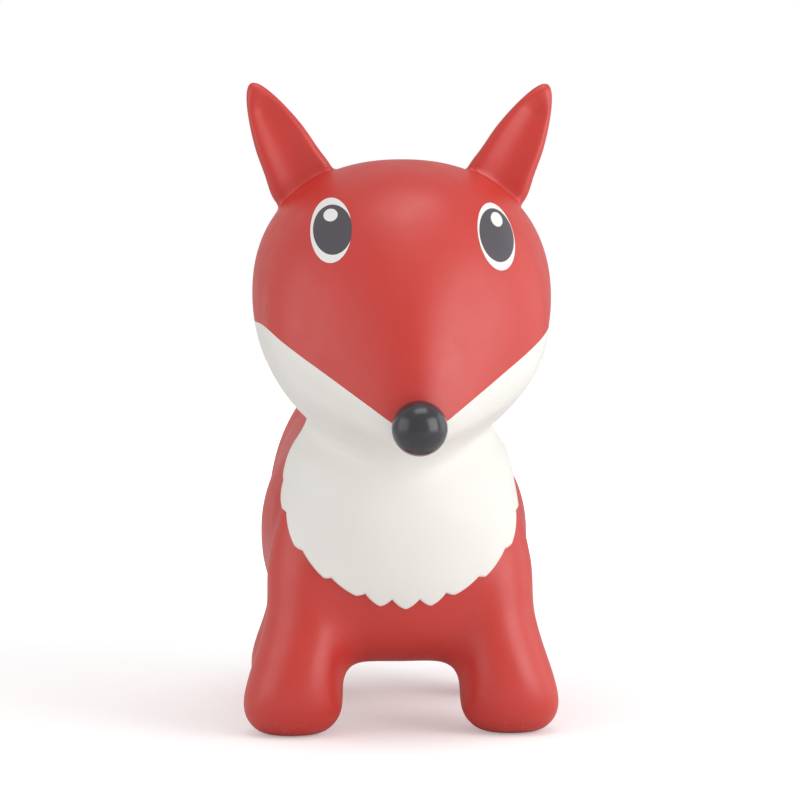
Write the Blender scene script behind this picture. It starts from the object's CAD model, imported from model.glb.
"""Looks for the air-filled ride-on fox: one soft moulded skin, its printed face, and the light.

The skin is grown from the same swelling forms as the solids, with soft fillets where they meet,
and is then divided into pieces along its paint lines and at the places where it flexes.
All lengths are in metres. The fox stands on z = 0, faces -Y, and its own left side is at +X.
"""

import math

import bpy
import numpy as np
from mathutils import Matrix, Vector


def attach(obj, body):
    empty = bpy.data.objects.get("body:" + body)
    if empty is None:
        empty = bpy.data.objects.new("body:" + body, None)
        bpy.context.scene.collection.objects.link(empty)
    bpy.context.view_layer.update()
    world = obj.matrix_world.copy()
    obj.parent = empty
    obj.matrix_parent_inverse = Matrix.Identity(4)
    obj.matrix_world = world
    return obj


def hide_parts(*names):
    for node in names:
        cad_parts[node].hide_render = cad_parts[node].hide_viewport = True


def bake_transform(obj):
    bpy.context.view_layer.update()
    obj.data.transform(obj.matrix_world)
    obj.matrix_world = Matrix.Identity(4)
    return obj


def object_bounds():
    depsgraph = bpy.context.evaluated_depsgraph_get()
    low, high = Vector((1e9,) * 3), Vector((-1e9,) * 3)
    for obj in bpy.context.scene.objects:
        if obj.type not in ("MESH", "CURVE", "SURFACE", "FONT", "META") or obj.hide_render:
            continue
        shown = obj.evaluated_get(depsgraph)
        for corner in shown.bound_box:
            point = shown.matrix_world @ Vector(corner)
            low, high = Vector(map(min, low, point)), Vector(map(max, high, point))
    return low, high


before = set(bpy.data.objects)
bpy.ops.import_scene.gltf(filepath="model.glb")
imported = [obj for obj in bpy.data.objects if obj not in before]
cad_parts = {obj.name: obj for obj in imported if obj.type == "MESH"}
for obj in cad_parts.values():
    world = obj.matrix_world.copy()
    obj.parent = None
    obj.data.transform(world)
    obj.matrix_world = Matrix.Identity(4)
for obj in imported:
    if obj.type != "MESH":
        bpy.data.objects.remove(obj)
cad_low, cad_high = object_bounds()

# The forms

TRUNK_FRONT_Y, TRUNK_REAR_Y, TRUNK_Z = -0.1162, 0.2188, 0.150
HEAD_BACK_Y, HEAD_FRONT_Y, HEAD_Z = 0.0348, -0.2492, 0.339
CHEST_Y, CHEST_BOTTOM_Z, CHEST_TOP_Z = -0.0662, 0.0512, 0.3268
MUZZLE_DROP = 0.0918
EAR_LENGTH, EAR_LEAN = 0.1130, math.radians(27.3)
EAR_START = (0.0625, -0.0822, 0.399)
EAR_FLEX = (0.07885, -0.0822, 0.43068)
EAR_SEAM = math.hypot(EAR_FLEX[0] - EAR_START[0], EAR_FLEX[2] - EAR_START[2]) / EAR_LENGTH
EAR_DISH, DISH_FADE, DISH_RUN = 0.74, 0.78, 0.20
TAIL_LENGTH, TAIL_LEAN, TAIL_TIP_SHARE = 0.168, math.radians(20), 0.64
TAIL_START = (0, 0.1828, 0.202)
FRONT_FOOT, HIND_FOOT = (0.0832, -0.0982), (0.0855, 0.0948)
FOOT_DEPTH, SHOULDER_TOP_Z, HIP_TOP_Z = 0.004, 0.225, 0.183
X, Y, Z = np.eye(3)
SAMPLES = 1024


def smooth(x):
    """Rises from 0 to 1 with an easy start and end."""
    x = np.clip(x, 0, 1)
    return x * x * (3 - 2 * x)


def unit(rows):
    """Each row drawn to a length of one."""
    return rows / np.maximum(np.linalg.norm(rows, axis=1), 1e-15)[:, None]


def soft_least(a, b, reach):
    """The lesser of two values, rounded where they meet, and the second one's share in it."""
    mix = np.clip(1 - np.abs(a - b) / reach, 0, 1)
    share = mix * mix / 2
    return np.minimum(a, b) - mix**3 * reach / 6, np.where(a < b, share, 1 - share)


def curve(values):
    """A smooth curve through evenly set values, and its slope, sampled from 0 to 1."""
    values = np.asarray(values, float)
    last = len(values) - 1
    ends = np.concatenate([[2 * values[0] - values[1]], values, [2 * values[-1] - values[-2]]])
    place = np.linspace(0, last, SAMPLES + 1)
    first = np.minimum(place.astype(int), last - 1)
    u = place - first
    p0, p1, p2, p3 = (ends[first + k] for k in range(4))
    bend = 2 * p0 - 5 * p1 + 4 * p2 - p3 + (3 * p1 - 3 * p2 + p3 - p0) * u
    made = p1 + u / 2 * (p2 - p0 + bend * u)
    return made, np.gradient(made, 1 / SAMPLES)


class Swell:
    """A closed form that swells along an axis and closes roundly at both ends."""

    def __init__(self, start, end, side, front, wide, fore, aft, **shape):
        self.start, self.side, self.front = (np.asarray(v, float) for v in (start, side, front))
        axis = np.asarray(end, float) - self.start
        self.length = np.linalg.norm(axis)
        self.axis = axis / self.length
        names = {"wide": wide, "fore": fore, "aft": aft}
        names["drift"] = shape.get("drift", (0, 0))
        names["sway"] = shape.get("sway", (0, 0))
        names["square"] = shape.get("square", (2, 2))
        names["keel"] = shape.get("keel", names["square"])
        self.tables = {name: curve(values) for name, values in names.items()}
        self.dish = shape.get("dish", 0)
        reach = max(np.max(self.tables[n][0]) for n in ("wide", "fore", "aft"))
        spread = max(np.max(np.abs(self.tables[n][0])) for n in ("drift", "sway")) + reach
        ends = np.array([self.start, self.start + axis])
        self.low, self.high = ends.min(0) - spread, ends.max(0) + spread

    def at(self, name, t):
        """A measure and its slope at places from 0 to 1 along the form."""
        grid = t * SAMPLES
        first = np.minimum(grid.astype(int), SAMPLES - 1)
        u = grid - first
        value, slope = self.tables[name]
        return value[first] * (1 - u) + value[first + 1] * u, slope[first]

    def dish_at(self, t):
        """The share of the front that is hollowed, which ends below the tip."""
        return self.dish * (1 - smooth((t - DISH_FADE) / DISH_RUN))

    def ring(self, t, turns):
        """The outline across the form at one place along it."""
        place = np.full(len(turns), t)
        close = 2 * math.sqrt(max(t * (1 - t), 0))
        a, b = close * np.cos(turns), close * np.sin(turns)
        b = np.where(b > 0, b * (1 - self.dish_at(t) * np.sin(turns) ** 2), b)
        deep = np.where(b > 0, self.at("fore", place)[0], self.at("aft", place)[0])
        middle = self.start + self.axis * self.length * t
        across = (a * self.at("wide", place)[0])[:, None]
        return middle + across * self.side + (b * deep)[:, None] * self.front

    def distance(self, points):
        """About how far each point is outside the form, and the direction outwards."""
        rel = points - self.start
        along = rel @ self.axis / self.length
        t = np.clip(along, 0, 1)
        s = 2 * along - 1
        sway, sway_slope = self.at("sway", t)
        drift, drift_slope = self.at("drift", t)
        wide, wide_slope = self.at("wide", t)
        across = rel @ self.side - sway
        deep = rel @ self.front - drift
        ahead = deep > 0
        size, size_slope = (np.where(ahead, f, b) for f, b in zip(self.at("fore", t), self.at("aft", t)))
        power = np.where(ahead, self.at("square", t)[0], self.at("keel", t)[0])
        # the place as shares of the half sizes there, and how the shares change each way
        a, b = across / wide, deep / size
        grow = 1 / self.length
        a_axis = (-sway_slope - a * wide_slope) * grow / wide
        b_axis = (-drift_slope - b * size_slope) * grow / size
        a_side, b_front, b_side = 1 / wide, 1 / size, np.zeros_like(a)
        s_axis = 2 * grow
        if self.dish:
            # the hollow makes the front shallower, most of all in its middle
            close = np.sqrt(np.maximum(1 - s * s, 1e-3))
            a_in = a / close
            hollow = ahead & (np.abs(a_in) < 1)
            dish = self.dish_at(t)
            keep = np.where(hollow, 1 - dish * (1 - a_in**2), 1)
            turn = np.where(hollow, 2 * dish * a_in, 0)
            keep_side = turn * a_side / close
            keep_axis = turn * (a_axis / close + a * s * s_axis / close**3)
            b_side = -b / keep**2 * keep_side
            b_axis = b_axis / keep - b / keep**2 * keep_axis
            b_front = b_front / keep
            b = b / keep
        r = np.maximum((np.abs(a) ** power + np.abs(b) ** power) ** (1 / power), 1e-9)
        whole = np.maximum(np.sqrt(r * r + s * s), 1e-9)
        pull_a = np.sign(a) * (np.abs(a) / r) ** (power - 1) * r / whole
        pull_b = np.sign(b) * (np.abs(b) / r) ** (power - 1) * r / whole
        side = pull_a * a_side + pull_b * b_side
        front = pull_b * b_front
        axis = pull_a * a_axis + pull_b * b_axis + s / whole * s_axis
        slope = side[:, None] * self.side + front[:, None] * self.front + axis[:, None] * self.axis
        steep = np.maximum(np.linalg.norm(slope, axis=1), 1e-9)
        return (whole - 1) / steep, slope / steep[:, None]


def scaled(size, shares):
    """Shares of a size as lengths."""
    return [size * share for share in shares]


TRUNK = Swell(
    (0, TRUNK_FRONT_Y, TRUNK_Z),
    (0, TRUNK_REAR_Y, TRUNK_Z),
    X,
    Z,
    wide=scaled(0.110, (1.40, 1.15, 0.95, 0.88, 0.96, 0.82)),
    fore=scaled(0.110, (0.86, 1.00, 0.98, 1.09, 1.34, 1.09)),
    aft=scaled(0.092, (1.03, 1.21, 1.02, 1.03, 1.22, 1.14)),
    drift=scaled(0.110, (-0.01, 0.01, -0.01, 0.01, 0.04, -0.01)),
    square=(2.1, 2.1, 2.05, 2.05, 2.05, 2.0),
    keel=(2.1, 2.3, 2.3, 2.3, 2.2, 2.1),
)
HEAD = Swell(
    (0, HEAD_BACK_Y, HEAD_Z),
    (0, HEAD_FRONT_Y, HEAD_Z),
    X,
    Z,
    wide=scaled(0.1145, (0.87, 1.04, 1.01, 0.98, 0.97, 0.62)),
    fore=scaled(0.102, (0.85, 0.99, 1.01, 1.06, 1.32, 1.40)),
    aft=scaled(0.122, (0.72, 0.91, 1.00, 0.96, 0.66, 0.50)),
    drift=scaled(-MUZZLE_DROP, (-0.05, -0.01, 0.00, 0.09, 0.48, 1.00)),
    square=(2.1, 2.2, 2.25, 2.1, 1.9, 1.8),
    keel=(2.0, 2.0, 2.0, 1.95, 1.85, 1.8),
)
CHEST = Swell(
    (0, CHEST_Y, CHEST_BOTTOM_Z),
    (0, CHEST_Y, CHEST_TOP_Z),
    X,
    -Y,
    wide=scaled(0.090, (1.85, 1.20, 1.06, 1.01, 0.95, 0.82, 0.95, 0.90)),
    fore=scaled(0.081, (1.30, 1.11, 1.05, 1.03, 0.935, 0.79, 0.72, 0.60)),
    aft=scaled(0.080, (0.85, 0.90, 0.95, 1.00, 1.03, 1.06, 1.15, 1.10)),
    square=(2.2, 2.2, 2.1, 2.1, 2.05, 2.0, 2.0, 2.0),
)


def leg(side, foot, top, half_width, half_depth, wide, fore, aft, inward, back):
    """A leg from its rounded sole up into the body, by shares from the sole to the top."""
    return Swell(
        (side * foot[0], foot[1], -FOOT_DEPTH),
        (side * foot[0], foot[1], top),
        X * side,
        -Y,
        wide=scaled(half_width, wide),
        fore=scaled(half_depth, fore),
        aft=scaled(half_depth, aft),
        sway=scaled(-foot[0], inward),
        drift=scaled(-half_depth, back),
        square=(2.1, 2.2, 2.1, 2.1, 2.0, 2.0),
    )


SIDES = (("left", 1), ("right", -1))
LEGS, EARS = {}, {}
for label, side in SIDES:
    LEGS[f"front_{label}"] = leg(
        side,
        FRONT_FOOT,
        SHOULDER_TOP_Z,
        0.0425,
        0.0465,
        wide=(1.95, 1.065, 0.820, 1.01, 1.03, 1.00),
        fore=(1.62, 1.13, 0.88, 0.92, 0.78, 0.80),
        aft=(1.50, 1.02, 0.84, 0.92, 0.81, 0.80),
        inward=(-0.02, 0.012, 0.150, 0.285, 0.36, 0.50),
        back=(0, 0.045, 0.20, 0.33, 0.40, 0.45),
    )
    LEGS[f"hind_{label}"] = leg(
        side,
        HIND_FOOT,
        HIP_TOP_Z,
        0.0305,
        0.0480,
        wide=(1.26, 0.90, 0.80, 0.98, 1.40, 1.30),
        fore=(1.36, 1.06, 0.92, 1.14, 1.45, 1.30),
        aft=(1.30, 0.98, 0.90, 1.14, 1.45, 1.30),
        inward=(-0.03, -0.01, 0.15, 0.30, 0.41, 0.50),
        back=(0, 0.02, 0.14, 0.26, 0.36, 0.40),
    )
    ear_axis = np.array([side * math.sin(EAR_LEAN), 0, math.cos(EAR_LEAN)])
    ear_start = np.array(EAR_START) * (side, 1, 1)
    EARS[label] = Swell(
        ear_start,
        ear_start + ear_axis * EAR_LENGTH,
        (side * math.cos(EAR_LEAN), 0, -math.sin(EAR_LEAN)),
        -Y,
        wide=scaled(0.0265, (1.25, 1.17, 0.89, 0.77, 0.66, 0.56)),
        fore=scaled(0.0165, (1.15, 1.10, 1.02, 0.92, 0.78, 0.60)),
        aft=scaled(0.0165, (1.05, 1.00, 0.84, 0.70, 0.58, 0.50)),
        dish=EAR_DISH,
    )
TAIL_AXIS = np.array([0, math.sin(TAIL_LEAN), math.cos(TAIL_LEAN)])
TAIL = Swell(
    TAIL_START,
    np.array(TAIL_START) + TAIL_AXIS * TAIL_LENGTH,
    X,
    (0, math.cos(TAIL_LEAN), -math.sin(TAIL_LEAN)),
    wide=scaled(0.034, (1.00, 0.92, 0.96, 1.02, 0.92, 0.50)),
    fore=scaled(0.034, (0.95, 0.88, 0.94, 1.00, 0.92, 0.50)),
    aft=scaled(0.034, (0.95, 0.88, 0.88, 0.92, 0.85, 0.50)),
    drift=scaled(0.030, (0.10, 0.75, 1.05, 0.90, 0.35, -0.60)),
)

# The skin's field

CHEST_FILLET, TAIL_FILLET, EAR_FILLET = 0.045, 0.020, 0.009
CROTCH_FILLET, SHOULDER_FILLET = 0.046, 0.090
CROTCH_Z, SHOULDER_RUN = 0.066, 0.050
CHEEK_FILLET, CHIN_FILLET, NAPE_FILLET = 0.022, 0.058, 0.034
CHIN_SPAN = 0.032
NAPE_Y, NAPE_RUN = -0.115, 0.070
SOLE_ROUND = 0.006
FAR, NEAR = 0.5, 0.045


def part_of(form, points):
    """A form's distance and direction where it is near, and a far value elsewhere."""
    near = np.all((points > form.low - NEAR) & (points < form.high + NEAR), axis=1)
    away = np.full(len(points), FAR)
    out = np.tile(Z, (len(points), 1))
    if near.any():
        away[near], out[near] = form.distance(points[near])
    return away, out


def joined(one, other, fillet):
    """The union of two fields with a soft fillet, and none where they run side by side."""
    (a, a_out), (b, b_out) = one, other
    turn = np.clip(1 - np.sum(a_out * b_out, axis=1), 0, 1)
    away, share = soft_least(a, b, fillet * turn + 1e-6)
    return away, a_out * (1 - share[:, None]) + b_out * share[:, None]


def barrel(points):
    """The field of the trunk and the chest, without the legs."""
    return joined(part_of(TRUNK, points), part_of(CHEST, points), CHEST_FILLET)


def torso(points):
    """The field of the body below the head, with the widest fillets at the shoulders."""
    made = barrel(points)
    rise = smooth((points[:, 2] - CROTCH_Z) / SHOULDER_RUN)
    fillet = CROTCH_FILLET + (SHOULDER_FILLET - CROTCH_FILLET) * rise
    for form in LEGS.values():
        made = joined(made, part_of(form, points), fillet)
    return made


def skull(points):
    """The field of the head with its ears."""
    made = part_of(HEAD, points)
    for form in EARS.values():
        made = joined(made, part_of(form, points), EAR_FILLET)
    return made


def field(points):
    """Distance of each point outside the skin, and the direction outwards."""
    chin = CHEEK_FILLET + (CHIN_FILLET - CHEEK_FILLET) * np.exp(-((points[:, 0] / CHIN_SPAN) ** 2))
    nape = chin + (NAPE_FILLET - chin) * smooth((points[:, 1] - NAPE_Y) / NAPE_RUN)
    made = joined(torso(points), skull(points), nape)
    away, out = joined(made, part_of(TAIL, points), TAIL_FILLET)
    inside, share = soft_least(-away, points[:, 2], SOLE_ROUND)
    return -inside, out * (1 - share[:, None]) - Z * share[:, None]


# The skin's mesh

CELL = 0.003
MARGIN = 0.008


def nets(values, low, step):
    """The surface where a sampled field is zero, as points and triangles."""
    inside = values < 0
    nx, ny, nz = values.shape
    corners = [(i, j, k) for i in (0, 1) for j in (0, 1) for k in (0, 1)]
    count = sum(
        inside[i : nx - 1 + i, j : ny - 1 + j, k : nz - 1 + k].astype(np.int8) for i, j, k in corners
    )
    active = (count > 0) & (count < 8)
    number = np.full(active.shape, -1, np.int64)
    cells = np.argwhere(active)
    number[active] = np.arange(len(cells))
    # a crossed cell's point is the middle of the places where the surface cuts its edges
    total, hits = np.zeros((len(cells), 3)), np.zeros(len(cells))
    for a in corners:
        for axis in range(3):
            if a[axis]:
                continue
            b = tuple(c + (n == axis) for n, c in enumerate(a))
            fa = values[tuple((cells + a).T)]
            fb = values[tuple((cells + b).T)]
            cross = (fa < 0) != (fb < 0)
            place = np.tile(np.array(a, float), (len(cells), 1))
            place[:, axis] += np.where(cross, fa / np.where(cross, fa - fb, 1), 0)
            total[cross] += place[cross]
            hits[cross] += 1
    points = low + step * (cells + total / hits[:, None])
    # each grid edge that the surface cuts gets a quad through the four cells round it
    quads = []
    for axis in range(3):
        u, v = (axis + 1) % 3, (axis + 2) % 3
        size = [nx, ny, nz]
        size[axis] -= 1
        first = [slice(0, n) for n in size]
        after = list(first)
        after[axis] = slice(1, size[axis] + 1)
        change = inside[tuple(first)] != inside[tuple(after)]
        at = np.argwhere(change)
        for n in (u, v):
            at = at[(at[:, n] > 0) & (at[:, n] < values.shape[n] - 1)]
        back_u, back_v = np.zeros(3, int), np.zeros(3, int)
        back_u[u], back_v[v] = 1, 1
        ring = [at - back_u - back_v, at - back_v, at, at - back_u]
        quad = np.stack([number[tuple(r.T)] for r in ring], axis=1)
        flip = ~inside[tuple(at.T)]
        quad[flip] = quad[flip][:, ::-1]
        quads.append(quad)
    quads = np.concatenate(quads)
    # a quad becomes two triangles along its shorter diagonal
    spans = [np.linalg.norm(points[quads[:, k]] - points[quads[:, k + 2]], axis=1) for k in (0, 1)]
    short = (spans[0] <= spans[1])[:, None]
    one = np.where(short, quads[:, [0, 1, 2]], quads[:, [0, 1, 3]])
    two = np.where(short, quads[:, [0, 2, 3]], quads[:, [1, 2, 3]])
    return points, np.concatenate([one, two])


def onto_skin(points, rounds=3, most=0.002):
    """Points moved onto the skin, and its outward directions there."""
    points = points.copy()
    for _ in range(rounds):
        away, out = field(points)
        size = np.maximum(np.linalg.norm(out, axis=1), 1e-6)
        step = np.clip(away / size, -most, most)
        points -= out / size[:, None] * step[:, None]
    return points, unit(field(points)[1])


def grown_skin():
    """The whole skin's points and triangles, from one half of the field and its mirror image."""
    low, high = np.array(cad_low) - MARGIN, np.array(cad_high) + MARGIN
    half = math.ceil(max(-low[0], high[0]) / CELL)
    counts = [half + 1] + [math.ceil((high[n] - low[n]) / CELL) + 1 for n in (1, 2)]
    axes = [np.arange(counts[0]) * CELL] + [low[n] + np.arange(counts[n]) * CELL for n in (1, 2)]
    values = np.empty(counts)
    yy, zz = np.meshgrid(axes[1], axes[2], indexing="ij")
    for n, x in enumerate(axes[0]):
        spots = np.stack([np.full(yy.size, x), yy.ravel(), zz.ravel()], axis=1)
        values[n] = field(spots)[0].reshape(yy.shape)
    values = np.concatenate([values[:0:-1], values])
    points, faces = nets(values, np.array([-half * CELL, low[1], low[2]]), CELL)
    return onto_skin(points)[0], faces


def redirected(points, faces, out, weight):
    """Directions that pass by weight from the given ones to those of the triangles round a point."""
    a, b, c = (points[faces[:, k]] for k in range(3))
    normal = np.cross(b - a, c - a)
    total = np.zeros_like(points)
    for k in range(3):
        np.add.at(total, faces[:, k], normal)
    weight = weight[:, None]
    return unit(out * (1 - weight) + unit(total) * weight)


def edges_of(faces):
    """The distinct edges, and the number of each triangle's three edges."""
    ends = np.concatenate([faces[:, [0, 1]], faces[:, [1, 2]], faces[:, [2, 0]]])
    ends = np.sort(ends, axis=1)
    key = ends[:, 0] * (faces.max() + 1) + ends[:, 1]
    _, first, index = np.unique(key, return_index=True, return_inverse=True)
    return ends[first], index.reshape(3, -1).T


def evened(points, faces):
    """Draws each point towards its neighbours' middle, and back onto the skin."""
    ends, _ = edges_of(faces)
    count = np.bincount(ends.ravel(), minlength=len(points))
    total = [
        np.bincount(ends[:, 0], points[ends[:, 1], n], len(points))
        + np.bincount(ends[:, 1], points[ends[:, 0], n], len(points))
        for n in range(3)
    ]
    middle = np.stack(total, axis=1) / count[:, None]
    return onto_skin((points + middle) / 2)[0]


def refined(points, faces, marked):
    """Halves every edge of the marked triangles, and divides their neighbours to match."""
    ends, index = edges_of(faces)
    split = np.zeros(len(ends), bool)
    split[index[marked]] = True
    number = np.full(len(ends), -1)
    number[split] = len(points) + np.arange(split.sum())
    points = np.concatenate([points, points[ends[split]].mean(1)])
    cuts = number[index]
    # a triangle's kind adds 1, 2 and 4 for its cut edges, and a turn brings like kinds into line
    kind = (cuts >= 0) @ np.array([1, 2, 4])
    made = [faces[kind == 0]]
    turns = {1: 0, 2: 1, 4: 2, 3: 0, 6: 1, 5: 2, 7: 0}
    for value, turn in turns.items():
        chosen = kind == value
        if not chosen.any():
            continue
        a, b, c = (np.roll(faces[chosen], -turn, axis=1)[:, k] for k in range(3))
        ab, bc, ca = (np.roll(cuts[chosen], -turn, axis=1)[:, k] for k in range(3))
        if value in (1, 2, 4):
            parts = [(a, ab, c), (ab, b, c)]
        elif value in (3, 6, 5):
            parts = [(ab, b, bc), (a, ab, bc), (a, bc, c)]
        else:
            parts = [(a, ab, ca), (ab, b, bc), (ca, bc, c), (ab, bc, ca)]
        made += [np.stack(part, axis=1) for part in parts]
    return points, np.concatenate(made)


EDGE_DRAW, TUCK_DOWN, TUCK_IN, SEAM_RUN = 0.2, 0.0008, 0.00015, 0.004


def leaf(form, start, rings=90, steps=112):
    """An ear above its flex plane, as rings drawn closer together at the tip.

    The lowest ring keeps the skin's directions, and a ring tucked under it closes the seam.
    """
    turns = np.linspace(0, 2 * math.pi, steps, endpoint=False)
    turns -= EDGE_DRAW * np.sin(2 * turns)
    opening = math.acos(1 - 2 * start)
    places = [(1 - math.cos(a)) / 2 for a in np.linspace(opening, math.pi, rings + 1)[:-1]]
    tip = form.start + form.axis * form.length
    points = np.concatenate([form.ring(t, turns) for t in places] + [tip[None]])
    points, out = onto_skin(points, 2)
    tucked = points[:steps] - form.axis * TUCK_DOWN - out[:steps] * TUCK_IN
    points, out = np.concatenate([tucked, points]), np.concatenate([out[:steps], out])
    faces = []
    for row in range(rings):
        for k in range(steps):
            a, b = row * steps + k, row * steps + (k + 1) % steps
            faces += [(a, b, b + steps), (a, b + steps, a + steps)]
    last = rings * steps
    faces += [(last + k, last + (k + 1) % steps, len(points) - 1) for k in range(steps)]
    faces = np.array(faces)
    if np.cross(form.side, form.front) @ form.axis < 0:
        faces = faces[:, ::-1]
    rises = [0, *((t - start) * form.length for t in places), form.length]
    weight = smooth(np.repeat(rises, [steps] * (rings + 1) + [1]) / SEAM_RUN)
    return Skin(points, faces, redirected(points, faces, out, weight))


class Skin:
    """A triangle mesh with an outward direction at each point, which can be divided."""

    def __init__(self, points, faces, out, **more):
        self.points, self.faces, self.out, self.more = points, faces, out, more

    def kept(self, faces):
        """The part made of some triangles, with the points that they use."""
        used, index = np.unique(faces, return_inverse=True)
        more = {name: values[used] for name, values in self.more.items()}
        return Skin(self.points[used], index.reshape(-1, 3), self.out[used], **more)

    def divided(self, level):
        """The parts where a value at each point is below zero, and above it."""
        level = np.where(np.abs(level) < 1e-7, 1e-7, level)
        ends, index = edges_of(self.faces)
        a, b = level[ends[:, 0]], level[ends[:, 1]]
        cross = (a < 0) != (b < 0)
        share = (a / np.where(cross, a - b, 1))[cross][:, None]
        number = np.full(len(ends), -1)
        number[cross] = len(self.points) + np.arange(cross.sum())
        first, second = ends[cross].T

        def with_cuts(values):
            """Values at the points, and after them at the places where the line cuts an edge."""
            s = share if values.ndim == 2 else share[:, 0]
            return np.concatenate([values, values[first] * (1 - s) + values[second] * s])

        more = {name: with_cuts(values) for name, values in self.more.items()}
        whole = Skin(with_cuts(self.points), self.faces, unit(with_cuts(self.out)), **more)
        below = level < 0
        cuts, corner = number[index], below[self.faces]
        count = corner.sum(1)
        low, high = [self.faces[count == 3]], [self.faces[count == 0]]
        # a cut triangle has one corner alone on its side and two on the other
        for alone, lone_side, other_side in ((1, low, high), (2, high, low)):
            chosen = count == alone
            odd = corner[chosen] if alone == 1 else ~corner[chosen]
            turn = np.argmax(odd, axis=1)
            rows = np.arange(len(turn))
            f, c = self.faces[chosen], cuts[chosen]
            p, q, r = (f[rows, (turn + k) % 3] for k in range(3))
            pq, rp = c[rows, turn], c[rows, (turn + 2) % 3]
            lone_side.append(np.stack([p, pq, rp], axis=1))
            other_side.append(np.stack([pq, q, r], axis=1))
            other_side.append(np.stack([pq, r, rp], axis=1))
        return [whole.kept(np.concatenate(faces)) for faces in (low, high)]


# Outlines on the skin


def ring_distance(spots, outline):
    """Distance of 2-D spots from a closed outline, below zero inside it."""
    start, end = outline, np.roll(outline, -1, axis=0)
    best = np.full(len(spots), np.inf)
    inside = np.zeros(len(spots), bool)
    for (ax, az), (bx, bz) in zip(start, end):
        dx, dz = bx - ax, bz - az
        t = np.clip(((spots[:, 0] - ax) * dx + (spots[:, 1] - az) * dz) / (dx * dx + dz * dz), 0, 1)
        best = np.minimum(best, np.hypot(spots[:, 0] - ax - t * dx, spots[:, 1] - az - t * dz))
        crosses = (az > spots[:, 1]) != (bz > spots[:, 1])
        inside ^= crosses & (spots[:, 0] < ax + (spots[:, 1] - az) / (dz if dz else 1) * dx)
    return np.where(inside, -best, best)


BIB_Z, BIB_WIDE, BIB_DROP, BIB_TOP, BIB_BACK_Y = 0.183, 0.0915, 0.0818, 0.11, -0.064
TUFT_DEPTH, BIB_RELIEF, EDGE_RISE, THROAT_RUN = 0.0062, 0.0030, 0.0004, 0.030
# The relief rises at once at its edge, and then more gently over each tuft.
BIB_ROUNDS = ((0.0022, 0.66), (0.011, 0.34))
# Each tuft from the middle outwards: its tip and the cleft after it, as an angle and an inset share.
TIPS = ((0, -0.20), (12, -0.10), (25, 0.30), (43, 0.10), (64, -0.15), (83, 0.00))
CLEFTS = ((7, 0.95), (21, 0.95), (40, 0.70), (60, 0.40), (81, 0.40), (97, 0.35))
SHORT_STEPS, LONG_STEPS, POINTED = 5, 8, 1.45


def bib_outline():
    """The bib from the front: a disc whose lower half ends in tufts, like feathers that overlap."""
    half = []

    def edge(tip, cleft, turn):
        """Adds a point of the outline on the way from a tip to a cleft."""
        angle, inset = (a + (b - a) * share for a, b, share in zip(tip, cleft, (turn, turn**POINTED)))
        angle = math.radians(angle)
        wide, drop = BIB_WIDE - inset * TUFT_DEPTH, BIB_DROP - inset * TUFT_DEPTH
        half.append((wide * math.sin(angle), BIB_Z - drop * math.cos(angle)))

    for number, (tip, cleft) in enumerate(zip(TIPS, CLEFTS)):
        if number:
            for k in range(1, SHORT_STEPS):
                edge(tip, CLEFTS[number - 1], 1 - k / SHORT_STEPS)
        for k in range(LONG_STEPS + 1):
            edge(tip, cleft, k / LONG_STEPS)
    half.append((half[-1][0], BIB_Z + BIB_TOP))
    left = [(-x, z) for x, z in reversed(half[1:])]
    return np.array(left + half)


MASK_CHEEK, MASK_NOSE = (0.109, 0.0215), (0.0205, 0.0893)
MASK_RUN = (0, 0.14, 0.30, 0.46, 0.72, 1)
MASK_FALL = (0, 0.17, 0.33, 0.48, 0.73, 1)
MASK_BACK_Y, MASK_BACK_SLOPE, MASK_ROUND = -0.0703, 0.35, 0.022
# Where the line runs on: a place across under the nose and one past the cheek, each with its rise.
UNDER_NOSE, PAST_CHEEK = (-0.02, -0.026), (0.14, 0.004)
LINE_END, LINE_STEPS, LINE_SOFT = 0.13, 130, 6
# About the cosines of the two edges' slopes, which make a height or a depth a distance.
CHEEK_COSINE, JAW_COSINE = 0.8, 0.94


def mask_level(points):
    """Below zero on the white lower face: under the cheek line and ahead of the jaw's end."""
    across, down = MASK_CHEEK[0] - MASK_NOSE[0], MASK_NOSE[1] - MASK_CHEEK[1]
    spans = [MASK_NOSE[0] + across * (1 - run) for run in MASK_RUN][::-1]
    heights = [HEAD_Z - MASK_CHEEK[1] - down * fall for fall in MASK_FALL][::-1]
    spans = [UNDER_NOSE[0], *spans, PAST_CHEEK[0]]
    heights = [heights[0] + UNDER_NOSE[1], *heights, heights[-1] + PAST_CHEEK[1]]
    # a smooth line through the same places
    fine = np.linspace(0, LINE_END, LINE_STEPS + 1)
    line = np.pad(np.interp(fine, spans, heights), LINE_SOFT, mode="edge")
    kernel = np.exp(-(np.linspace(-2, 2, 2 * LINE_SOFT + 1) ** 2))
    line = np.convolve(line, kernel / kernel.sum(), "valid")
    x, y, z = points.T
    over = (z - np.interp(np.abs(x), fine, line)) * CHEEK_COSINE
    behind = (y - MASK_BACK_Y - MASK_BACK_SLOPE * (HEAD_Z - MASK_CHEEK[1] - z)) * JAW_COSINE
    return -soft_least(-over, -behind, MASK_ROUND)[0]


# Eyes: middle (x, z), half sizes and lean of the white, the iris and the glint of each eye.
EYES = {
    "right": {
        "eye_white": (-0.0592, 0.3876, 0.0146, 0.0241, -6),
        "iris": (-0.0580, 0.3880, 0.0139, 0.0185, -7),
        "glint": (-0.0590, 0.3987, 0.0045, 0.0052, -60),
    },
    "left": {
        "eye_white": (0.0634, 0.3829, 0.0144, 0.0252, 9),
        "iris": (0.0637, 0.3839, 0.0136, 0.0200, 9),
        "glint": (0.0648, 0.3955, 0.0045, 0.0056, 25),
    },
}
EYES_BACK_Y, PRINT_LIFT = -0.05, 0.0001


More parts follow.
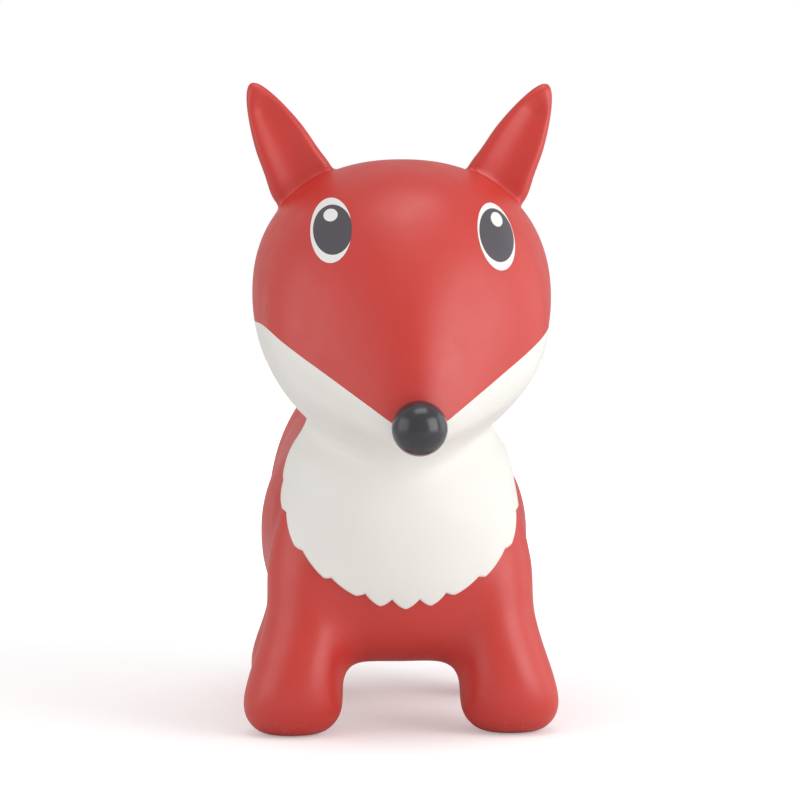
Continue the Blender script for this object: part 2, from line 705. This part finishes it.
def oval_level(points, oval):
    """Below zero inside an oval seen from the front, about a distance."""
    x0, z0, wide, tall, lean = oval
    a = math.radians(lean)
    x, z = points[:, 0] - x0, points[:, 2] - z0
    u = (x * math.cos(a) + z * math.sin(a)) / wide
    v = (z * math.cos(a) - x * math.sin(a)) / tall
    r = np.hypot(u, v)
    slope = np.hypot(u / wide, v / tall) / np.maximum(r, 1e-6)
    return np.where(points[:, 1] < EYES_BACK_Y, (r - 1) / np.maximum(slope, 1e-6), FAR)


# Materials


def put(tree, socket, value):
    """Gives a socket a value, or links it to the socket that the value comes from."""
    if isinstance(value, bpy.types.NodeSocket):
        tree.links.new(value, socket)
    else:
        socket.default_value = value


def node(tree, kind, **sockets):
    """A shader node with the named sockets filled."""
    made = tree.nodes.new("ShaderNode" + kind)
    for name, value in sockets.items():
        put(tree, made.inputs[name.replace("_", " ")], value)
    return made


def spread(tree, value, low, high, to_low, to_high, ease="LINEAR"):
    """A value moved from one range to another."""
    made = node(tree, "MapRange", Value=value, From_Min=low, From_Max=high, To_Min=to_low, To_Max=to_high)
    made.interpolation_type = ease
    return made.outputs["Result"]


def combined(tree, operation, first, second):
    """The result of a named operation on two values."""
    made = tree.nodes.new("ShaderNodeMath")
    made.operation = operation
    put(tree, made.inputs[0], first)
    put(tree, made.inputs[1], second)
    return made.outputs[0]


def mixed(tree, amount, first, second):
    """A colour that passes from the first to the second by an amount."""
    made = tree.nodes.new("ShaderNodeMix")
    made.data_type = "RGBA"
    # several of this node's sockets share a name, so those for colours are taken by number
    for number, value in ((0, amount), (6, first), (7, second)):
        put(tree, made.inputs[number], value)
    return made.outputs[2]


def moulded(name, colour, deep, roughness, peel=0.16, coat=0.0, shine=0.5):
    """Soft moulded PVC: a satin skin with slight mottling, a fine orange peel and faint scuffs."""
    made = bpy.data.materials.new(name)
    made.use_nodes = True
    tree = made.node_tree
    shader = tree.nodes["Principled BSDF"]
    where = tree.nodes.new("ShaderNodeTexCoord").outputs["Object"]

    def noise(scale, detail=2.0, rough=0.5):
        """Noise over the whole object, which starts at no seam."""
        found = node(tree, "TexNoise", Vector=where, Scale=scale, Detail=detail, Roughness=rough)
        return found.outputs["Fac"]

    mottled = mixed(tree, spread(tree, noise(9.0, 3.0), 0.3, 0.7, 0.0, 1.0), (*deep, 1), (*colour, 1))
    pale = tuple(c + (0.75 - c) * 0.18 for c in colour)
    height = node(tree, "SeparateXYZ", Vector=where).outputs["Z"]
    low_down = spread(tree, height, 0.0, 0.018, 1.0, 0.0)
    speck = spread(tree, noise(240.0, 4.0, 0.7), 0.56, 0.66, 0.0, 0.9)
    scuffed = mixed(tree, combined(tree, "MULTIPLY", low_down, speck), mottled, (*pale, 1))
    tree.links.new(scuffed, shader.inputs["Base Color"])
    gloss = spread(tree, noise(55.0, 4.0, 0.6), 0.3, 0.7, roughness - 0.05, roughness + 0.05)
    tree.links.new(gloss, shader.inputs["Roughness"])
    waves = node(tree, "Bump", Strength=peel * 1.5, Distance=0.0012, Height=noise(26.0))
    fine = noise(900.0, 3.0, 0.55)
    bump = node(tree, "Bump", Strength=peel, Distance=0.0003, Height=fine, Normal=waves.outputs["Normal"])
    tree.links.new(bump.outputs["Normal"], shader.inputs["Normal"])
    shader.inputs["Specular IOR Level"].default_value = shine
    shader.inputs["Coat Weight"].default_value = coat
    shader.inputs["Coat Roughness"].default_value = 0.25
    return made


RED = moulded("red_pvc_skin", (0.580, 0.028, 0.018), (0.550, 0.024, 0.015), 0.42, shine=0.75)
WHITE = moulded("white_pvc_skin", (0.845, 0.825, 0.785), (0.825, 0.80, 0.755), 0.46)
NOSE = moulded("nose_gloss_paint", (0.034, 0.031, 0.036), (0.028, 0.026, 0.030), 0.24, peel=0.04, coat=0.2)
IRIS = moulded("iris_print_ink", (0.085, 0.075, 0.088), (0.075, 0.066, 0.078), 0.36, peel=0.08)
EYE_WHITE = moulded("white_print_ink", (0.83, 0.82, 0.80), (0.81, 0.80, 0.78), 0.38, peel=0.08)
VALVE = moulded("valve_collar_pvc", (0.57, 0.050, 0.034), (0.53, 0.044, 0.030), 0.36, peel=0.10)
STOPPER = moulded("stopper_pvc", (0.80, 0.78, 0.74), (0.77, 0.75, 0.71), 0.34, peel=0.08)

# Pieces


def placed(name, mesh, material, nodes):
    """An object of a mesh in one material, in place of the named nodes."""
    mesh.materials.append(material)
    made = bpy.data.objects.new(name, mesh)
    bpy.context.scene.collection.objects.link(made)
    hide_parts(*nodes)
    return made


def piece(name, skin, material, slot, *nodes):
    """An object of a divided skin, with the skin's own directions for its shading."""
    mesh = bpy.data.meshes.new(name)
    mesh.from_pydata(skin.points.tolist(), [], skin.faces.tolist())
    mesh.validate()
    mesh.shade_smooth()
    mesh.normals_split_custom_set_from_vertices(skin.out.tolist())
    return placed(name, mesh, material, nodes)


SHARP_ANGLE = 50


def turned(name, profile, centre, direction, material, slot, *nodes, steps=96):
    """A turned piece from (radius, height) points, rising along direction from a centre."""
    angles = np.linspace(0, 2 * math.pi, steps, endpoint=False)
    direction = np.asarray(direction, float)
    u = np.cross(direction, Z)
    u /= np.linalg.norm(u)
    v = np.cross(direction, u)
    points, rings = [], []
    for radius, height in profile:
        base = np.asarray(centre) + direction * height
        if radius < 1e-7:
            rings.append([len(points)])
            points.append(base)
        else:
            rings.append(list(range(len(points), len(points) + steps)))
            points += [base + radius * (math.cos(a) * u + math.sin(a) * v) for a in angles]
    faces = []
    for one, two in zip(rings, rings[1:]):
        for k in range(steps):
            after = (k + 1) % steps
            if len(one) == 1:
                faces.append((one[0], two[after], two[k]))
            elif len(two) == 1:
                faces.append((one[k], one[after], two[0]))
            else:
                faces.append((one[k], one[after], two[after], two[k]))
    mesh = bpy.data.meshes.new(name)
    mesh.from_pydata([tuple(p) for p in points], [], faces)
    mesh.validate()
    mesh.shade_smooth()
    mesh.set_sharp_from_angle(angle=math.radians(SHARP_ANGLE))
    return placed(name, mesh, material, nodes)


# The whole skin, with smaller triangles along its lines

BIB = bib_outline()
BIB_FRONT_Y, BIB_HEAD_Z = -0.03, 0.30
COARSE, MIDDLE, FINEST = 0.010, 0.005, 0.0022
EVEN_ROUNDS, LINE_SHARE, ROOT_OVER = 3, 0.6, 0.003
VALVE_HOLE, VALVE_FRONT_Y = 0.0146, 0.19


def near_lines(points, faces, reach):
    """Which triangles lie near the bib's edge and, but for the finest, near the eyes and ear roots."""
    middles = points[faces].mean(1)
    front = (middles[:, 1] < BIB_FRONT_Y) & (middles[:, 2] < BIB_HEAD_Z)
    near = np.zeros(len(faces), bool)
    near[front] = np.abs(ring_distance(middles[front][:, [0, 2]], BIB)) < reach
    if reach == FINEST:
        return near
    for ovals in EYES.values():
        for oval in ovals.values():
            near |= np.abs(oval_level(middles, oval)) < reach * LINE_SHARE
    for form in EARS.values():
        root = (middles - form.start) @ form.axis < form.length * EAR_SEAM + ROOT_OVER
        near |= (part_of(form, middles)[0] < reach * LINE_SHARE) & root
    return near


def fine_skin():
    """The whole skin, evened out and made finer step by step."""
    points, faces = grown_skin()
    for _ in range(EVEN_ROUNDS):
        points = evened(points, faces)
    for reach in ((COARSE, MIDDLE, FINEST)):
        old = len(points)
        points, faces = refined(points, faces, near_lines(points, faces, reach))
        points[old:] = onto_skin(points[old:])[0]
        points = evened(points, faces)
    points, out = onto_skin(points, 2)
    return Skin(points, faces, out)


def holed(skin):
    """The skin without the round that the air valve fills."""
    away = np.hypot(skin.points[:, 0], skin.points[:, 2] - TRUNK_Z) - VALVE_HOLE
    return skin.divided(np.where(skin.points[:, 1] > VALVE_FRONT_Y, away, FAR))[1]


# The head and the body, parted along the neck

TAIL_FRONT_Y = 0.12
skin = holed(fine_skin())
apart = skull(skin.points)[0] - torso(skin.points)[0]
skin.more["head"] = np.where(skin.points[:, 1] < TAIL_FRONT_Y, apart, FAR)
head_skin, body_skin = skin.divided(skin.more["head"])

# The ears, which bend in their lowest part

EAR_SIDE_X, EAR_BEND = 0.02, 0.020
for label, side in SIDES:
    flex, axis = np.array(EAR_FLEX) * (side, 1, 1), EARS[label].axis
    level = -((head_skin.points - flex) @ axis)
    level = np.where(head_skin.points[:, 0] * side > EAR_SIDE_X, level, FAR)
    head_skin = head_skin.divided(level)[1]
    made = piece(f"{label}_ear_skin", leaf(EARS[label], EAR_SEAM), RED, "red_pvc", f"{label}_ear")
    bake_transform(made)

# The eyes, printed in three layers

EYE_LAYERS = (
    ("eye_white", EYE_WHITE, "white_print"),
    ("iris", IRIS, "iris_print"),
    ("glint", EYE_WHITE, "white_print"),
)
for label, ovals in EYES.items():
    eye, head_skin = head_skin.divided(oval_level(head_skin.points, ovals["eye_white"]))
    iris, white = eye.divided(oval_level(eye.points, ovals["iris"]))
    glint, iris = iris.divided(oval_level(iris.points, ovals["glint"]))
    for (name, material, slot), part in zip(EYE_LAYERS, (white, iris, glint)):
        part.points = part.points + part.out * PRINT_LIFT
        made = piece(f"{label}_{name}_print", part, material, slot, f"{label}_{name}")
        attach(made, "body")

# The white lower face, and the red head round it

mask, head_skin = head_skin.divided(mask_level(head_skin.points))
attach(piece("face_mask_skin", mask, WHITE, "white_pvc", "face_mask"), "body")
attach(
    piece("head_skin", head_skin, RED, "red_pvc", "head", "left_ear_root", "right_ear_root"), "body"
)

# The bib, a raised sheet with a rounded edge that sinks into the throat

behind = body_skin.points[:, 1] - BIB_BACK_Y
body_skin.more["bib"] = np.maximum(ring_distance(body_skin.points[:, [0, 2]], BIB), behind)
bib, body_skin = body_skin.divided(body_skin.more["bib"])
depth = np.clip(-bib.more["bib"], 0, None)
rise = np.zeros(len(depth))
for reach, share in BIB_ROUNDS:
    rise += BIB_RELIEF * share * np.sqrt(1 - (1 - np.minimum(depth / reach, 1)) ** 2)
rise *= smooth(bib.more["head"] / THROAT_RUN)
bib.points = bib.points + bib.out * rise[:, None]
bib.out = redirected(bib.points, bib.faces, bib.out, smooth(rise / EDGE_RISE))
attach(piece("chest_bib_skin", bib, WHITE, "white_pvc", "chest_bib"), "body")

# The tail and its white tip

apart = part_of(TAIL, body_skin.points)[0] - torso(body_skin.points)[0]
tail, body_skin = body_skin.divided(np.where(body_skin.points[:, 1] > TAIL_FRONT_Y, apart, FAR))
tip_start = np.array(TAIL_START) + TAIL_AXIS * TAIL_LENGTH * TAIL_TIP_SHARE
tip, tail = tail.divided(-((tail.points - tip_start) @ TAIL_AXIS))
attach(piece("tail_tip_skin", tip, WHITE, "white_pvc", "tail_tip"), "body")
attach(piece("tail_skin", tail, RED, "red_pvc", "tail"), "body")

# The feet, which squash up to the ankle, the legs above them, and the trunk

ANKLE_Z, SOLE_Z, FOOT_REACH = 0.046, 0.002, 0.08
for name, form in LEGS.items():
    foot_x, foot_y = form.start[:2]
    across, along, height = (body_skin.points * (np.sign(foot_x), 1, 1)).T
    mine = (across > 0) & (np.abs(along - foot_y) < FOOT_REACH)
    foot, body_skin = body_skin.divided(np.where(mine, height - ANKLE_Z, FAR))
    made = piece(f"{name}_foot_skin", foot, RED, "red_pvc", f"{name}_foot")
    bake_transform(made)
    apart = part_of(form, body_skin.points)[0] - barrel(body_skin.points)[0]
    mine = body_skin.points[:, 0] * np.sign(foot_x) > 0
    upper, body_skin = body_skin.divided(np.where(mine, apart, FAR))
    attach(piece(f"{name}_leg_skin", upper, RED, "red_pvc", f"{name}_leg"), "body")
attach(piece("trunk_skin", body_skin, RED, "red_pvc", "trunk", "chest_and_neck"), "body")

# The nose, a ball in gloss paint whose back is sunk in the muzzle

NOSE_MID, NOSE_RADIUS = (0, -0.254, 0.2456), 0.0202
NOSE_TURN, NOSE_STEPS = math.radians(150), 32
turns = [NOSE_TURN * k / NOSE_STEPS for k in range(NOSE_STEPS + 1)]
profile = [(NOSE_RADIUS * math.sin(a), NOSE_RADIUS * math.cos(a)) for a in turns]
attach(turned("nose_ball", profile, NOSE_MID, -Y, NOSE, "nose_paint", "nose"), "body")

# The air valve, a collar with a recess, and the flanged stopper in it

SEAT_PROUD = 0.0012
SEAT = (0, TRUNK_REAR_Y + SEAT_PROUD, TRUNK_Z)
seat = [
    (0.0049, -0.0090),
    (0.0049, -0.0030),
    (0.0054, -0.0026),
    (0.0088, -0.0026),
    (0.0093, -0.0023),
    (0.0094, -0.0004),
    (0.0098, 0.0000),
    (0.0136, 0.0000),
    (0.0146, -0.0003),
    (0.0150, -0.0010),
    (0.0150, -0.0090),
]
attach(turned("valve_collar", seat, SEAT, Y, VALVE, "valve_pvc", "valve_seat"), "body")
stopper = [
    (0, 0.0001),
    (0.0030, 0.0001),
    (0.0034, -0.0003),
    (0.0058, -0.0003),
    (0.0062, 0.0003),
    (0.0084, 0.0003),
    (0.0089, 0.0000),
    (0.0090, -0.0006),
    (0.0090, -0.0019),
    (0.0087, -0.0023),
    (0.0048, -0.0023),
    (0.0046, -0.0040),
    (0.0038, -0.0150),
    (0.0034, -0.0155),
    (0, -0.0155),
]
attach(turned("valve_stopper", stopper, SEAT, Y, STOPPER, "plug_pvc", "valve_plug"), "plug_body")

# Floor, light and camera


GLOW_START, GLOW_END, FLOOR_HALF = 0.4, 1.6, 6


def backdrop_material(name, colour, near_glow, far_glow):
    """A white floor: it takes the object's shadow, and glows for the camera, more so far away."""
    made = bpy.data.materials.new(name)
    made.use_nodes = True
    tree = made.node_tree
    shader = tree.nodes["Principled BSDF"]
    shader.inputs["Base Color"].default_value = (*colour, 1)
    shader.inputs["Roughness"].default_value = 0.9
    shader.inputs["Specular IOR Level"].default_value = 0.0
    shader.inputs["Emission Color"].default_value = (1, 1, 1, 1)
    place = tree.nodes.new("ShaderNodeTexCoord")
    length = tree.nodes.new("ShaderNodeVectorMath")
    length.operation = "LENGTH"
    tree.links.new(place.outputs["Object"], length.inputs[0])
    away = length.outputs["Value"]
    glow = spread(tree, away, GLOW_START, GLOW_END, near_glow, far_glow, "SMOOTHSTEP")
    ray = tree.nodes.new("ShaderNodeLightPath")
    seen = combined(tree, "MULTIPLY", ray.outputs["Is Camera Ray"], glow)
    tree.links.new(seen, shader.inputs["Emission Strength"])
    return made


mesh = bpy.data.meshes.new("floor")
corners = [(FLOOR_HALF * x, FLOOR_HALF * y, 0) for x, y in ((-1, -1), (1, -1), (1, 1), (-1, 1))]
mesh.from_pydata(corners, [], [(0, 1, 2, 3)])
floor = bpy.data.objects.new("floor", mesh)
mesh.materials.append(backdrop_material("floor_white", (0.82, 0.82, 0.82), 0.32, 1.0))
bpy.context.scene.collection.objects.link(floor)

# The sky looks white to the camera, and lights the object with less than that.
SKY_LIGHT, SKY_SEEN = 0.57, 1.0
world = bpy.data.worlds.new("studio")
bpy.context.scene.world = world
world.use_nodes = True
tree = world.node_tree
background = tree.nodes["Background"]
background.inputs["Color"].default_value = (1, 1, 1, 1)
ray = tree.nodes.new("ShaderNodeLightPath")
seen = combined(tree, "MAXIMUM", ray.outputs["Is Camera Ray"], ray.outputs["Is Transmission Ray"])
tree.links.new(spread(tree, seen, 0.0, 1.0, SKY_LIGHT, SKY_SEEN), background.inputs["Strength"])

TARGET = Vector((0, -0.0982, 0.2569))


def lamp(name, place, size, power):
    """A rectangular lamp that faces the object."""
    light = bpy.data.lights.new(name, "AREA")
    light.shape = "RECTANGLE"
    light.size, light.size_y = size
    light.energy = power
    made = bpy.data.objects.new(name, light)
    made.location = place
    made.rotation_euler = (TARGET - Vector(place)).to_track_quat("-Z", "Y").to_euler()
    bpy.context.scene.collection.objects.link(made)


lamp("key", (1.70, -1.40, 0.75), (1.6, 2.0), 28)
lamp("rim", (2.0, 0.35, 0.60), (1.3, 1.8), 7)
lamp("fill", (-2.1, -0.60, 0.60), (2.0, 2.0), 15)
lamp("top", (0.1, -0.50, 2.3), (1.4, 0.9), 10)

YAW, DISTANCE, CAMERA_Z = math.radians(4.8), 2.4, 0.40
VIEW_WIDTH, SENSOR, AIM_SHIFT = 0.6144, 36, 0.0012
camera = bpy.data.objects.new("camera", bpy.data.cameras.new("camera"))
camera.location = TARGET + Vector((-math.sin(YAW), -math.cos(YAW), 0)) * DISTANCE
camera.location.z = CAMERA_Z
aim = TARGET - Vector((AIM_SHIFT, 0, 0)) - camera.location
camera.rotation_euler = aim.to_track_quat("-Z", "Y").to_euler()
camera.data.sensor_width = SENSOR
camera.data.lens = SENSOR * aim.length / VIEW_WIDTH
bpy.context.scene.collection.objects.link(camera)
bpy.context.scene.camera = camera
bpy.context.scene.view_settings.view_transform = "Standard"
